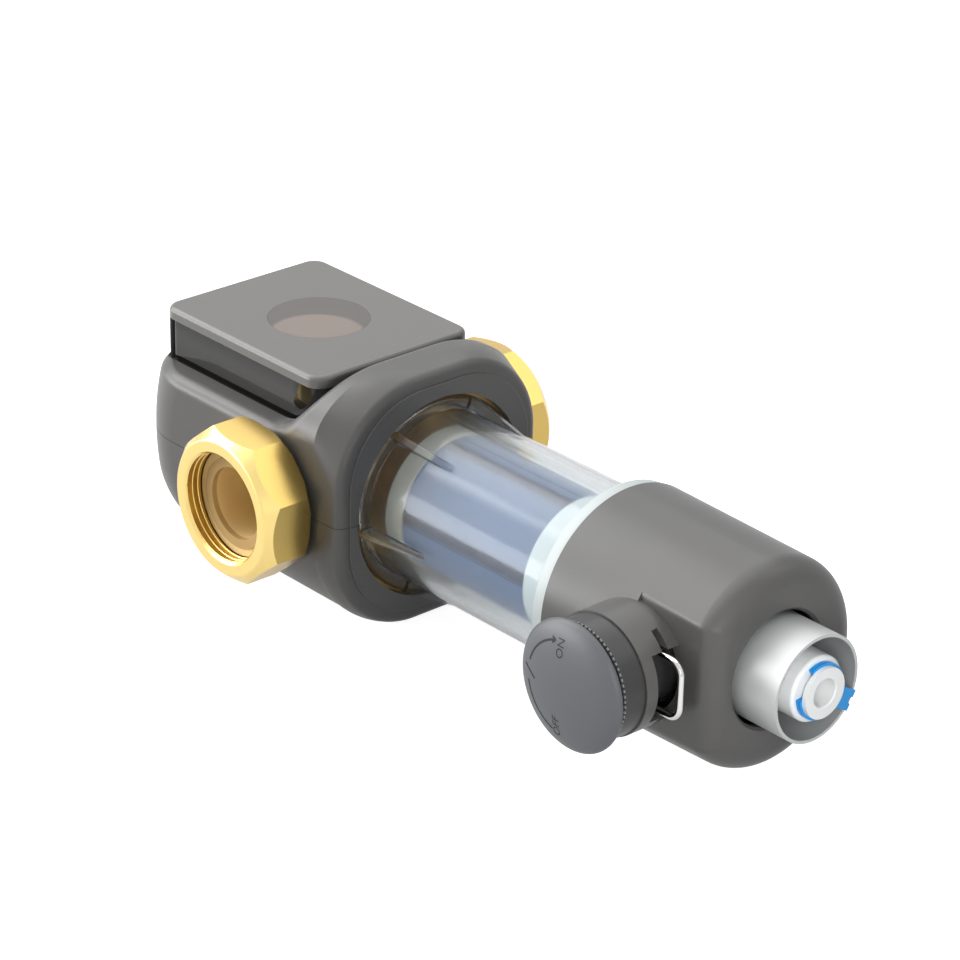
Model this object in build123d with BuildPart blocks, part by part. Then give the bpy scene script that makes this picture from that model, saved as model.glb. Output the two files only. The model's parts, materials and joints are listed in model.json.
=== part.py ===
from build123d import *
import math
import os

# Spin-down sediment filter, lying on the flat back of its head. Millimetres.
# X runs along the filter, from the closed end of the head to the drain. Y is the axis of the two
# ports and of the drain knob, the knob and the inlet on the -Y side. Z is up, away from the back.
# The origin lies on the floor, right under the point where the port axis crosses the filter axis.
# Heights named below are measured from the filter axis, unless they say otherwise.

# Head shell
axis_height = 46.3  # filter axis above the flat back
head_half_width = 45.2
head_end = 80.0  # port axis to the closed end
head_end_bulge = 80.0  # radius of the closed end, seen from the side
head_end_round = 26.0
back_corner = 35.5
face_at = 39.6  # port axis to the open face
face_half_width = 44.6
face_top = 46.3
face_corner = 35.5
face_lift = 1.8  # how far the face's lower edge lies above the flat back
face_edge_round = 3.2
face_margin = 4.2  # outline to the step round the face
face_step = 0.6
face_step_round = 0.35
face_hole_clearance = 1.1
hood_at = 19.0  # where the hood rises over the ledge
hood_top = 47.5
hood_shoulder = 33.4  # width of the hood's elliptical shoulder
hood_front = 26.0  # from here the hood falls to the face
crest_at = 33.0
crest_drop = 0.25
crest_rise = 9.0  # how much taller the shoulder is at the crest
ledge_height = 25.5
ledge_edge_round = 4.6
shell_wall = 2.6
seam_gap = 0.2

# Front panel, and the smoked box under it
panel_back = 70.8  # port axis to the panel's closed end
panel_front = 15.3
panel_half_width = 35.0
panel_top = 44.6
panel_thickness = 4.2
panel_corner = 6.0
panel_edge_round = 1.8
panel_end_wall = 2.4
box_margin = 1.2  # from the panel's edge in to the box's side
box_front_corner = 14.0
box_back_corner = 3.6
box_wall = 2.2
tray_gap = 0.6
tray_front_gap = 2.2
tray_depth = 1.2
panel_fit = 0.2
window_at = -26.5
window_radius = 18.2
window_depth = 1.6
window_sight_radius = 13.2
window_fit = 0.05

# Ports and union nuts
port_radius = 20.5
port_proud = 1.0  # how far the brass ports stand out of the shell
port_hole_clearance = 0.5
water_bore = 13.0
tail_radius = 16.8
tail_depth = 16.0  # length of a tailpiece inside its port
tail_flange_radius = 19.2
tail_flange_length = 4.2
gasket_radius = 16.4
gasket_seat_depth = 1.5
gasket_thickness = 2.0
nut_gap = 1.6  # shell side to the nut's back
nut_length = 18.3
nut_shoulder = 6.9
nut_sides = 8
nut_corner_radius = 28.4
nut_turn = 18.0  # degrees, first corner from +X
nut_face_radius = 24.2
nut_thread_radius = 19.475
nut_relief_radius = 20.6
nut_chamfer = 4.7
nut_back_chamfer = 1.8
nut_face_round = 1.0
nut_lead_in = 0.8
running_clearance = 0.08
slip_clearance = 0.1

# Brass head body
socket_wall = 4.9
socket_length = 14.1
socket_back_wall = 3.5
hub_half_width = 31.0
feed_bore = 10.0
feed_tube_wall = 3.5
feed_tube_reach = 11.9  # how far the feed tube stands out of the socket
inlet_floor = 8.0  # the inlet bore ends this far past the filter axis
outlet_floor = 15.0  # the outlet bore ends this far short of it
outlet_hole_radius = 4.5
outlet_hole_ring = 17.0
outlet_hole_step = 40.0  # degrees between the outlet holes
gauge_boss_radius = 13.0
gauge_bore = 8.1
gauge_way = 4.0
gauge_flats = 22.0
gauge_head = 6.0
gauge_dome = 3.0
gauge_dome_radius = 9.5
gauge_depth = 13.0  # length of the plug inside its boss

# Clear bowl
bowl_radius = 31.2
bowl_wall = 3.2
bowl_neck_radius = bowl_radius + 1.3
socket_radius = bowl_neck_radius + slip_clearance + socket_wall
bowl_neck_length = 9.9
bowl_flange_radius = bowl_radius + 4.6
bowl_flange_length = 3.7
bowl_flange_bevel = 0.9
bowl_flange_recess = 0.8  # the flange lies this far behind the shell's face
bowl_sight = 87.5  # shell face to the white base
bowl_in_base = 22.4
bowl_lift = 0.5  # bowl end above the base's floor
lug_count = 6
lug_turn = 6.0  # degrees, first lug from +Y
lug_thickness = 2.5
lug_radius = bowl_radius + 4.8
lug_crest = 2.6
lug_length = 28.2
seal_cord = 1.0  # radius of an O-ring's cord
seal_groove_margin = 0.3
bowl_seal_back = 5.0  # flange to seal
base_seal_back = 9.5  # bowl end to seal

# Screen
screen_top_ring_length = 8.0
screen_top_ring_radius = 24.6
screen_radius = 23.9
screen_thickness = 0.6
screen_groove_depth = 0.35
screen_groove_width = 1.6
cage_clearance = 0.05
cage_thickness = 1.5
cage_rib_count = 4
cage_rib_width = 5.0
cage_rib_turn = 88.0  # degrees, first rib from +Y
cage_hoop_count = 5
cage_hoop_length = 2.4
bottom_ring_sight = 17.3  # length of the white ring that shows above the base
bottom_ring_radius = 24.0
bottom_ring_wall = 3.2

# White base under the bowl
base_ring_length = 4.8
base_ring_radius = bowl_radius + 5.7
base_skirt_radius = bowl_radius + 2.8
base_skirt_length = 18.6
base_cone_radius = bowl_radius - 0.2
base_floor = 3.5
base_bore = 9.0
base_spigot_radius = 15.5
spigot_clearance = 0.2  # spigot's end to the ball

# Drain housing
housing_radius = bowl_radius + 6.4
housing_taper = 1.6
housing_wall = 3.0
housing_end_round = 8.0
housing_fit = 0.1
flat_at = 28.8  # filter axis to the flat on the knob side
flat_edge_round = 4.0
sleeve_hole_clearance = 1.4
sleeve_hole_bevel = 1.0
knob_from_base = 36.3  # housing's open end to the knob axis
end_from_knob = 33.5  # knob axis to the housing's far end
boss_radius = 20.9
boss_wall = 3.1
boss_end = 45.0
pocket_front = 40.3
pocket_half_height = 11.8
pocket_start = 11.8  # knob axis to the pocket
slot_turn = 55.0  # degrees, upper end of the clip slot

# Wire clip
clip_depth = 34.5  # filter axis to the clip's plane
clip_wire = 1.15  # radius of the wire
clip_leg = 9.9  # knob axis to a leg
clip_bend = 4.5
clip_loop = 24.8  # knob axis to the loop
clip_tip = 12.7  # knob axis to the legs' tips, on the far side
clip_clearance = 0.15

# Drain valve
valve_radius = 19.0
valve_after_knob = 17.8  # knob axis to the valve's end
chamber_radius = 10.5
ball_radius = 9.5
ball_bore = 5.0
ball_clearance = 0.05
seat_bore = 5.5
seat_length = 3.2
neck_radius = 14.6
neck_gap = 0.3
stem_radius = 5.0
stem_tang = 3.6
stem_tang_length = 8.0
stem_tang_depth = 2.0
stem_seal_at = 24.0
bonnet_bore = 11.0
bonnet_depth = 8.0
bonnet_length = 7.6

# Knob
collar_radius = 20.3
collar_length = 9.0
collar_chamfer = 0.5
knob_gap = 0.3
knob_neck_radius = 18.9
knob_neck_length = 0.6
knob_rim_radius = 22.3
knob_rim_at = 2.9  # knob back to its widest rim
knob_height = 8.3
knob_hub_depth = 4.8

# Drain outlet
sleeve_radius = 18.5
sleeve_wall = 1.1
sleeve_reach = 16.6  # how far the sleeve stands out of the housing
fitting_radius = 11.34
fitting_round = 1.3
fitting_flange_length = 4.0
fitting_proud = 0.3  # how far the fitting stands out of the sleeve
fitting_way = 3.9
tube_bore = 4.85
tube_depth = 24.9  # collet mouth to the tube's stop
tube_seal_back = 10.0  # fitting's front to the seal
collet_depth = 8.6
collet_radius = 6.4
collet_flange_radius = 8.74
collet_flange_length = 1.5
collet_lead_in = 0.35
lock_clip_radius = 9.7
lock_clip_length = 1.7
lock_clip_play = 0.05
lock_clip_opening = 62.0  # degrees
lock_clip_turn = -30.0  # degrees, the tab from +Y
lock_tab_reach = 16.4
lock_tab_half_width = 3.6
lock_tab_notch = 1.2

# Screws that hold the two halves of the shell
screw_places = [(-60.0, 27.0), (-60.0, -27.0), (-31.0, 33.0), (-31.0, -33.0)]
screw_post_radius = 5.4
screw_well_radius = 3.8
screw_seat_depth = 12.0  # seam to the screw's seat
screw_head_radius = 3.4
screw_head = 2.4
screw_socket = 1.4
screw_radius = 1.5
screw_reach = 11.0  # seam to the screw's point
screw_point_room = 2.0

# Places along the filter axis
flange_front = face_at - bowl_flange_recess
flange_back = flange_front - bowl_flange_length
socket_back = flange_back - socket_length
socket_floor = socket_back + socket_back_wall
feed_tube_end = flange_back + feed_tube_reach
screen_start = feed_tube_end + 2.0
base_start = face_at + bowl_sight
bowl_end = base_start + bowl_in_base
floor_at = bowl_end + bowl_lift
bottom_ring_start = base_start - bottom_ring_sight
housing_start = base_start + base_ring_length
knob_at = housing_start + knob_from_base
housing_end = knob_at + end_from_knob
valve_start = floor_at + base_floor
spigot_end = knob_at - ball_radius - spigot_clearance
valve_end = knob_at + valve_after_knob
seat_end = 2 * knob_at - spigot_end
sleeve_end = housing_end + sleeve_reach
fitting_end = sleeve_end + fitting_proud
collet_end = fitting_end + lock_clip_length + 2 * lock_clip_play + collet_flange_length
tube_stop = collet_end - tube_depth
tube_seal_at = fitting_end - tube_seal_back

# Places along the port axis
port_reach = head_half_width + port_proud
nut_back = head_half_width + nut_gap
nut_front = nut_back + nut_length
tail_start = port_reach - tail_depth
tail_flange_back = nut_back + nut_shoulder + slip_clearance
tail_front = tail_flange_back + tail_flange_length
gasket_seat = tail_front - gasket_seat_depth

# Places along the knob axis
boss_bore = boss_radius - boss_wall
neck_end = boss_end - neck_gap
stem_foot = ball_radius + 0.1
collar_end = boss_end + collar_length
knob_back = collar_end + knob_gap
stem_end = knob_back + knob_hub_depth

# Heights
tray_floor = ledge_height - tray_depth
panel_under = panel_top - panel_thickness
gauge_boss_top = tray_floor - shell_wall - 0.3
gauge_seat = tray_floor + box_wall

centre = (0, 0, axis_height)
long_axis = Axis(centre, (1, 0, 0))
port_axis = Axis(centre, (0, 1, 0))
knob_axis = Axis((knob_at, 0, axis_height), (0, 1, 0))
gauge_axis = Axis((window_at, 0, axis_height), (0, 0, 1))

# Profile planes. Their local x runs along the axis of the piece, local y is the radius.
axial = Plane(origin=centre, x_dir=(1, 0, 0), z_dir=(0, -1, 0))
knob_side = Plane(origin=(knob_at, 0, axis_height), x_dir=(0, -1, 0), z_dir=(-1, 0, 0))
gauge_side = Plane(origin=(window_at, 0, axis_height), x_dir=(0, 0, 1), z_dir=(0, 1, 0))


def port_side(side):
    """Profile plane of a port: local x runs outwards along the port axis, local y is up."""
    return Plane(origin=centre, x_dir=(0, side, 0), z_dir=(side, 0, 0))


def across(x, turn=0):
    """Plane square to the filter axis: local x is +Y, local y is +Z, or turned by an angle."""
    along = math.radians(turn)
    x_dir = (0, math.cos(along), math.sin(along))
    return Plane(origin=(x, 0, axis_height), x_dir=x_dir, z_dir=(1, 0, 0))


def facing_knob(depth):
    """Plane square to the knob axis at a depth towards -Y: local x is +X, local y is +Z."""
    return Plane(origin=(0, -depth, axis_height), x_dir=(1, 0, 0), z_dir=(0, -1, 0))


def radial(angle):
    """Plane through the filter axis: local x is +X, local y points out at an angle from +Y."""
    out = math.radians(angle)
    return Plane(origin=centre, x_dir=(1, 0, 0), z_dir=(0, -math.sin(out), math.cos(out)))


def level(height):
    """Horizontal plane at a height from the filter axis."""
    return Plane.XY.offset(axis_height + height)


def turned(*corners, plane=axial, about=long_axis, mode=Mode.ADD):
    """Turn a closed outline, given as (along the axis, radius), into the current piece."""
    with BuildSketch(plane) as outline:
        with BuildLine():
            Polyline(*corners, close=True)
        make_face()
    revolve(outline.sketch, axis=about, mode=mode)


def o_ring(at, radius, cord, plane=axial, about=long_axis):
    """Add an O-ring whose cord centre lies on the given radius."""
    with BuildSketch(plane) as section:
        with Locations((at, radius)):
            Circle(cord)
    revolve(section.sketch, axis=about)


# Head shell: one outer form, hollowed by the same form set in by the wall, in two halves.


def head_outline(x, inset, half_width, top, shoulder_width, shoulder_height, lift=0):
    """Cross-section of the head: a flat back with large corners, and elliptical shoulders."""
    width = half_width - inset
    high = top - inset
    low = inset - axis_height + lift
    corner = back_corner - inset
    shoulder = (shoulder_width - inset, shoulder_height - inset)
    with BuildSketch(across(x)) as outline:
        with BuildLine():
            right = EllipticalCenterArc(
                (width - shoulder[0], high - shoulder[1]), *shoulder, start_angle=0, arc_size=90
            )
            left = EllipticalCenterArc(
                (shoulder[0] - width, high - shoulder[1]), *shoulder, start_angle=90, arc_size=90
            )
            back_left = CenterArc((corner - width, low + corner), corner, 180, 90)
            back_right = CenterArc((width - corner, low + corner), corner, 270, 90)
            Line(right @ 1, left @ 0)
            Line(left @ 1, back_left @ 0)
            Line(back_left @ 1, back_right @ 0)
            Line(back_right @ 1, right @ 0)
        make_face()
    return outline.sketch


def ledge_outline(x, inset):
    """Cross-section of the closed end, which stops at the ledge."""
    low = inset - axis_height
    with BuildSketch(across(x)) as outline:
        with Locations((0, low)):
            Rectangle(
                2 * (head_half_width - inset),
                ledge_height - inset - low,
                align=(Align.CENTER, Align.MIN),
            )
        fillet(outline.vertices().sort_by(Axis.Y)[:2], back_corner - inset)
    return outline.sketch


def head_form(inset):
    """The head's outside. With an inset it is the hollow inside a wall of that thickness."""
    cove_radius = hood_top - ledge_height
    cove_start = hood_at - cove_radius
    end = inset - head_end
    hood_body = (head_half_width, hood_top, hood_shoulder, cove_radius)
    hood_crest = (head_half_width, hood_top - crest_drop, hood_shoulder, cove_radius + crest_rise)
    face_body = (face_half_width, face_top, face_corner, face_corner, face_lift)
    with BuildPart() as form:
        extrude(ledge_outline(end, inset), amount=cove_start - end)
        extrude(head_outline(cove_start, inset, *hood_body), amount=hood_front - cove_start)
        loft(
            [
                head_outline(hood_front, inset, *hood_body),
                head_outline(crest_at, inset, *hood_crest),
                head_outline(face_at - face_step - inset, inset, *face_body),
            ]
        )
        with BuildSketch(axial):
            with BuildLine():
                cove = CenterArc((cove_start, hood_top), cove_radius + inset, -90, 90)
                Polyline(
                    cove @ 1,
                    (hood_at + inset, 2 * hood_top),
                    (cove_start, 2 * hood_top),
                    cove @ 0,
                )
            make_face()
        extrude(amount=2 * head_half_width, both=True, mode=Mode.SUBTRACT)
        with BuildSketch(axial):
            with Locations((end + head_end_bulge - inset, 0)):
                Circle(head_end_bulge - inset)
        extrude(amount=2 * head_half_width, both=True, mode=Mode.INTERSECT)
        closed_end = form.faces().sort_by(Axis.X)[0].edges().sort_by(Axis.Z)
        fillet(closed_end[:-1], head_end_round - inset)
        ledge = form.faces().filter_by(Axis.Z).sort_by(Axis.Z)[1].edges().sort_by(Axis.X)
        cove_face = form.faces().filter_by(
            lambda face: face.geom_type == GeomType.CYLINDER
            and abs(face.radius - cove_radius - inset) < 0.01
            and abs(face.center().Y) < 1
        )
        cove_edges = cove_face.sort_by(Axis.Z)[-1].edges().filter_by(
            lambda edge: edge.center() != ledge[-1].center()
        )
        fillet(ledge[:-1] + cove_edges, ledge_edge_round - inset)
        if not inset:
            fillet(form.faces().sort_by(Axis.X)[-1].edges(), face_edge_round)
            extrude(
                head_outline(face_at - face_step, face_margin, *face_body),
                amount=face_step,
            )
            fillet(form.faces().sort_by(Axis.X)[-1].edges(), face_step_round)
    return form.part


def panel_tray(grow):
    """The recess that the panel box stands in. Grown by the wall, it is the recess's own skin."""
    back = -panel_back - tray_gap - grow
    front = panel_front + tray_front_gap + grow
    half_width = panel_half_width + tray_gap + grow
    with BuildPart() as tray:
        with BuildSketch(level(ledge_height - tray_depth - grow)) as outline:
            with Locations(((back + front) / 2, 0)):
                Rectangle(front - back, 2 * half_width)
            fillet(outline.vertices().sort_by(Axis.X)[:2], panel_corner + grow)
            fillet(outline.vertices().sort_by(Axis.X)[-2:], box_front_corner + grow)
        extrude(amount=2 * hood_top)
    return tray.part


# Head shell: an outer form hollowed by the same form set in by the wall, with a tray for the panel
# box, and then cut into a front and a rear half at the filter axis.

outer_form = head_form(0)

with BuildPart() as head_skin:
    add(outer_form)
    add(head_form(shell_wall), mode=Mode.SUBTRACT)
    add(panel_tray(shell_wall) & outer_form)
    add(panel_tray(0), mode=Mode.SUBTRACT)
    turned(
        (hood_front, 0),
        (hood_front, bowl_flange_radius + face_hole_clearance),
        (2 * face_at, bowl_flange_radius + face_hole_clearance),
        (2 * face_at, 0),
        mode=Mode.SUBTRACT,
    )
    with BuildSketch(facing_knob(0)):
        Circle(port_radius + port_hole_clearance)
    extrude(amount=2 * head_half_width, both=True, mode=Mode.SUBTRACT)

with BuildPart() as rear_posts:
    with BuildSketch(level(-seam_gap / 2)):
        with Locations(*screw_places):
            Circle(screw_post_radius)
    extrude(amount=-2 * axis_height)
    add(outer_form, mode=Mode.INTERSECT)

with BuildPart() as head_shell_rear:
    add(head_skin.part)
    split(bisect_by=level(-seam_gap / 2), keep=Keep.BOTTOM)
    add(rear_posts.part)
    with BuildSketch(level(-screw_seat_depth)):
        with Locations(*screw_places):
            Circle(screw_well_radius)
    extrude(amount=-2 * axis_height, mode=Mode.SUBTRACT)
    with BuildSketch(level(-screw_seat_depth)):
        with Locations(*screw_places):
            Circle(screw_radius + slip_clearance)
    extrude(amount=2 * screw_seat_depth, mode=Mode.SUBTRACT)

with BuildPart() as head_shell_front:
    add(head_skin.part)
    split(bisect_by=level(seam_gap / 2), keep=Keep.TOP)
    with BuildSketch(level(seam_gap / 2)):
        with Locations(*screw_places):
            Circle(screw_post_radius)
    extrude(amount=tray_floor - seam_gap / 2 - shell_wall / 2)
    with BuildSketch(level(0)):
        with Locations(*screw_places):
            Circle(screw_radius + slip_clearance)
    extrude(amount=screw_reach + screw_point_room, mode=Mode.SUBTRACT)
    with BuildSketch(level(0)):
        with Locations((window_at, 0)):
            Circle(gauge_bore + port_hole_clearance)
    extrude(amount=hood_top, mode=Mode.SUBTRACT)

with BuildPart() as shell_screws:
    with BuildSketch(level(-screw_seat_depth)):
        with Locations(*screw_places):
            Circle(screw_head_radius)
    extrude(amount=-screw_head)
    with BuildSketch(level(-screw_seat_depth)):
        with Locations(*screw_places):
            Circle(screw_radius)
    extrude(amount=screw_seat_depth + screw_reach)
    with BuildSketch(level(-screw_seat_depth - screw_head)):
        with Locations(*screw_places):
            RegularPolygon(screw_socket, 6)
    extrude(amount=screw_head / 2, mode=Mode.SUBTRACT)


# Front panel, its window and the smoked box under it


def box_outline(height, shrink):
    """The box's outline at a height, drawn in by a wall where asked."""
    back = panel_end_wall + panel_fit - panel_back + shrink
    front = panel_front - shrink
    with BuildSketch(level(height)) as outline:
        with Locations(((back + front) / 2, 0)):
            Rectangle(front - back, 2 * (panel_half_width - box_margin - shrink))
        fillet(outline.vertices().sort_by(Axis.X)[:2], box_back_corner - shrink)
        fillet(outline.vertices().sort_by(Axis.X)[-2:], box_front_corner - shrink)
    return outline.sketch


with BuildPart() as panel_box:
    extrude(box_outline(tray_floor, 0), amount=panel_under - tray_floor)
    extrude(box_outline(gauge_seat, box_wall), amount=panel_top, mode=Mode.SUBTRACT)
    with BuildSketch(level(0)):
        with Locations((window_at, 0)):
            Circle(gauge_bore + port_hole_clearance)
    extrude(amount=hood_top, mode=Mode.SUBTRACT)

with BuildPart() as front_panel:
    with BuildSketch(level(tray_floor + panel_fit)):
        with Locations(((panel_front - panel_back) / 2, 0)):
            RectangleRounded(panel_front + panel_back, 2 * panel_half_width, panel_corner)
    extrude(amount=panel_top - tray_floor - panel_fit)
    with BuildSketch(level(0)):
        with Locations((panel_end_wall - panel_back, 0)):
            Rectangle(
                2 * panel_back,
                3 * panel_half_width,
                align=(Align.MIN, Align.CENTER),
            )
    extrude(amount=panel_under, mode=Mode.SUBTRACT)
    fillet(front_panel.faces().sort_by(Axis.Z)[-1].edges(), panel_edge_round)
    with BuildSketch(level(panel_top - window_depth)):
        with Locations((window_at, 0)):
            Circle(window_radius)
    extrude(amount=panel_thickness, mode=Mode.SUBTRACT)
    with BuildSketch(level(0)):
        with Locations((window_at, 0)):
            Circle(window_sight_radius)
    extrude(amount=panel_top, mode=Mode.SUBTRACT)

with BuildPart() as window_lens:
    with BuildSketch(level(panel_top - window_depth)):
        with Locations((window_at, 0)):
            Circle(window_radius - window_fit)
    extrude(amount=window_depth)


# Brass head body: the two ports, a hub with the water ways, the bowl's socket and a gauge boss

with BuildPart() as head_body:
    with BuildSketch(facing_knob(0)):
        Circle(port_radius)
    extrude(amount=port_reach, both=True)
    with BuildSketch(across(0)):
        SlotOverall(2 * hub_half_width, 2 * port_radius)
    extrude(amount=socket_floor)
    turned(
        (socket_back, 0),
        (socket_back, socket_radius),
        (flange_back, socket_radius),
        (flange_back, 0),
    )
    with BuildSketch(across(window_at)):
        Circle(gauge_boss_radius)
    extrude(amount=-window_at)
    turned(
        (-gauge_boss_radius, 0),
        (-gauge_boss_radius, gauge_boss_radius),
        (gauge_boss_top, gauge_boss_radius),
        (gauge_boss_top, 0),
        plane=gauge_side,
        about=gauge_axis,
    )
    # Socket for the bowl's neck, with the feed tube left standing in its middle
    turned(
        (socket_floor, feed_bore + feed_tube_wall),
        (socket_floor, bowl_neck_radius + slip_clearance),
        (2 * flange_back, bowl_neck_radius + slip_clearance),
        (2 * flange_back, feed_bore + feed_tube_wall),
        mode=Mode.SUBTRACT,
    )
    turned(
        (socket_floor, 0),
        (socket_floor, feed_bore + feed_tube_wall),
        (feed_tube_end, feed_bore + feed_tube_wall),
        (feed_tube_end, 0),
    )
    turned(
        (0, 0),
        (0, feed_bore),
        (2 * feed_tube_end, feed_bore),
        (2 * feed_tube_end, 0),
        mode=Mode.SUBTRACT,
    )
    # Inlet way, which runs into the feed tube, and outlet way, which drains the socket
    turned(
        (-inlet_floor, 0),
        (-inlet_floor, water_bore),
        (tail_start, water_bore),
        (tail_start, tail_radius + slip_clearance),
        (2 * port_reach, tail_radius + slip_clearance),
        (2 * port_reach, 0),
        plane=port_side(-1),
        about=port_axis,
        mode=Mode.SUBTRACT,
    )
    turned(
        (outlet_floor, 0),
        (outlet_floor, water_bore),
        (tail_start, water_bore),
        (tail_start, tail_radius + slip_clearance),
        (2 * port_reach, tail_radius + slip_clearance),
        (2 * port_reach, 0),
        plane=port_side(1),
        about=port_axis,
        mode=Mode.SUBTRACT,
    )
    with BuildSketch(across(0)):
        with PolarLocations(
            outlet_hole_ring,
            3,
            start_angle=-outlet_hole_step,
            angular_range=2 * outlet_hole_step,
            endpoint=True,
        ):
            Circle(outlet_hole_radius)
    extrude(amount=socket_floor + 1, mode=Mode.SUBTRACT)
    # Gauge bore and the small way that feeds it
    turned(
        (0, 0),
        (0, gauge_way),
        (gauge_boss_top - gauge_depth, gauge_way),
        (gauge_boss_top - gauge_depth, gauge_bore),
        (2 * hood_top, gauge_bore),
        (2 * hood_top, 0),
        plane=gauge_side,
        about=gauge_axis,
        mode=Mode.SUBTRACT,
    )
    with BuildSketch(across(window_at)):
        Circle(gauge_way)
    extrude(amount=-window_at, mode=Mode.SUBTRACT)

with BuildPart() as gauge_plug:
    with BuildSketch(level(gauge_seat)):
        with Locations((window_at, 0)):
            RegularPolygon(gauge_flats / 2, 6, major_radius=False)
    extrude(amount=gauge_head)
    plug_face = gauge_seat + gauge_head
    plug_seal = gauge_boss_top - gauge_depth / 2
    turned(
        (gauge_boss_top - gauge_depth, 0),
        (gauge_boss_top - gauge_depth, gauge_bore - slip_clearance),
        (gauge_seat, gauge_bore - slip_clearance),
        (gauge_seat, gauge_dome_radius),
        (plug_face, gauge_dome_radius),
        (plug_face + gauge_dome, gauge_dome_radius - gauge_dome),
        (plug_face + gauge_dome, 0),
        plane=gauge_side,
        about=gauge_axis,
    )
    turned(
        (plug_seal - seal_cord - seal_groove_margin, gauge_bore - 2 * seal_cord),
        (plug_seal - seal_cord - seal_groove_margin, 2 * gauge_bore),
        (plug_seal + seal_cord + seal_groove_margin, 2 * gauge_bore),
        (plug_seal + seal_cord + seal_groove_margin, gauge_bore - 2 * seal_cord),
        plane=gauge_side,
        about=gauge_axis,
        mode=Mode.SUBTRACT,
    )

with BuildPart() as gauge_seal:
    o_ring(plug_seal, gauge_bore - seal_cord, seal_cord, plane=gauge_side, about=gauge_axis)


# Tailpieces, gaskets and union nuts, one of each at the inlet (-Y) and at the outlet (+Y)


def tailpiece(side):
    with BuildPart() as piece:
        turned(
            (tail_start, water_bore),
            (tail_start, tail_radius),
            (tail_flange_back, tail_radius),
            (tail_flange_back, tail_flange_radius),
            (tail_front, tail_flange_radius),
            (tail_front, gasket_radius + slip_clearance),
            (gasket_seat, gasket_radius + slip_clearance),
            (gasket_seat, water_bore),
            plane=port_side(side),
            about=port_axis,
        )
    return piece


def gasket(side):
    with BuildPart() as piece:
        turned(
            (gasket_seat, water_bore),
            (gasket_seat, gasket_radius),
            (gasket_seat + gasket_thickness, gasket_radius),
            (gasket_seat + gasket_thickness, water_bore),
            plane=port_side(side),
            about=port_axis,
        )
    return piece


def union_nut(side):
    outward = Plane(origin=(0, side * nut_back, axis_height), x_dir=(1, 0, 0), z_dir=(0, side, 0))
    with BuildPart() as piece:
        with BuildSketch(outward):
            RegularPolygon(nut_corner_radius, nut_sides, rotation=nut_turn)
        extrude(amount=nut_length)
        turned(
            (nut_back, 0),
            (nut_back, nut_corner_radius - nut_back_chamfer),
            (nut_back + nut_back_chamfer, nut_corner_radius),
            (nut_front - nut_chamfer, nut_corner_radius),
            (nut_front, nut_face_radius),
            (nut_front, 0),
            plane=port_side(side),
            about=port_axis,
            mode=Mode.INTERSECT,
        )
        face_edge = piece.faces().sort_by(Axis.Y)[-1 if side > 0 else 0].edges()
        fillet(face_edge, nut_face_round)
        turned(
            (0, 0),
            (0, tail_radius + running_clearance),
            (nut_back + nut_shoulder, tail_radius + running_clearance),
            (nut_back + nut_shoulder, nut_relief_radius),
            (gasket_seat + gasket_thickness, nut_relief_radius),
            (gasket_seat + gasket_thickness, nut_thread_radius),
            (nut_front - nut_lead_in, nut_thread_radius),
            (nut_front, nut_thread_radius + nut_lead_in),
            (2 * nut_front, nut_thread_radius + nut_lead_in),
            (2 * nut_front, 0),
            plane=port_side(side),
            about=port_axis,
            mode=Mode.SUBTRACT,
        )
    return piece


# Clear bowl with its neck, flange and wrench lugs

with BuildPart() as bowl:
    neck_end_at = flange_back - bowl_neck_length
    bowl_bore = bowl_radius - bowl_wall
    neck_seal = flange_back - bowl_seal_back
    foot_seal = bowl_end - base_seal_back
    groove = seal_cord + seal_groove_margin
    turned(
        (neck_end_at, bowl_bore),
        (neck_end_at, bowl_neck_radius),
        (neck_seal - groove, bowl_neck_radius),
        (neck_seal - groove, bowl_neck_radius + slip_clearance - 2 * seal_cord),
        (neck_seal + groove, bowl_neck_radius + slip_clearance - 2 * seal_cord),
        (neck_seal + groove, bowl_neck_radius),
        (flange_back, bowl_neck_radius),
        (flange_back, bowl_flange_radius),
        (flange_front - bowl_flange_bevel, bowl_flange_radius),
        (flange_front, bowl_flange_radius - bowl_flange_bevel),
        (flange_front, bowl_radius),
        (foot_seal - groove, bowl_radius),
        (foot_seal - groove, bowl_radius + slip_clearance - 2 * seal_cord),
        (foot_seal + groove, bowl_radius + slip_clearance - 2 * seal_cord),
        (foot_seal + groove, bowl_radius),
        (bowl_end, bowl_radius),
        (bowl_end, bowl_bore),
    )
    for lug in range(lug_count):
        with BuildSketch(radial(lug_turn + 360 * lug / lug_count)) as lug_side:
            with BuildLine():
                Polyline(
                    (flange_back, bowl_radius - bowl_wall / 2),
                    (flange_back, bowl_flange_radius),
                    (flange_front, lug_radius),
                    (flange_front + lug_crest, lug_radius),
                    (flange_front + lug_length, bowl_radius),
                    (flange_front + lug_length, bowl_radius - bowl_wall / 2),
                    close=True,
                )
            make_face()
        extrude(lug_side.sketch, amount=lug_thickness / 2, both=True)

with BuildPart() as bowl_seal:
    o_ring(neck_seal, bowl_neck_radius + slip_clearance - seal_cord, seal_cord)

with BuildPart() as base_seal:
    o_ring(foot_seal, bowl_radius + slip_clearance - seal_cord, seal_cord)


# Screen: a white ring at each end, a cage, and the mesh that is drawn over it

with BuildPart() as screen_top_ring:
    turned(
        (screen_start - screen_top_ring_length, feed_bore + feed_tube_wall + slip_clearance),
        (screen_start - screen_top_ring_length, screen_top_ring_radius),
        (screen_start, screen_top_ring_radius),
        (screen_start, feed_bore),
        (feed_tube_end, feed_bore),
        (feed_tube_end, feed_bore + feed_tube_wall + slip_clearance),
    )

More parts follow.
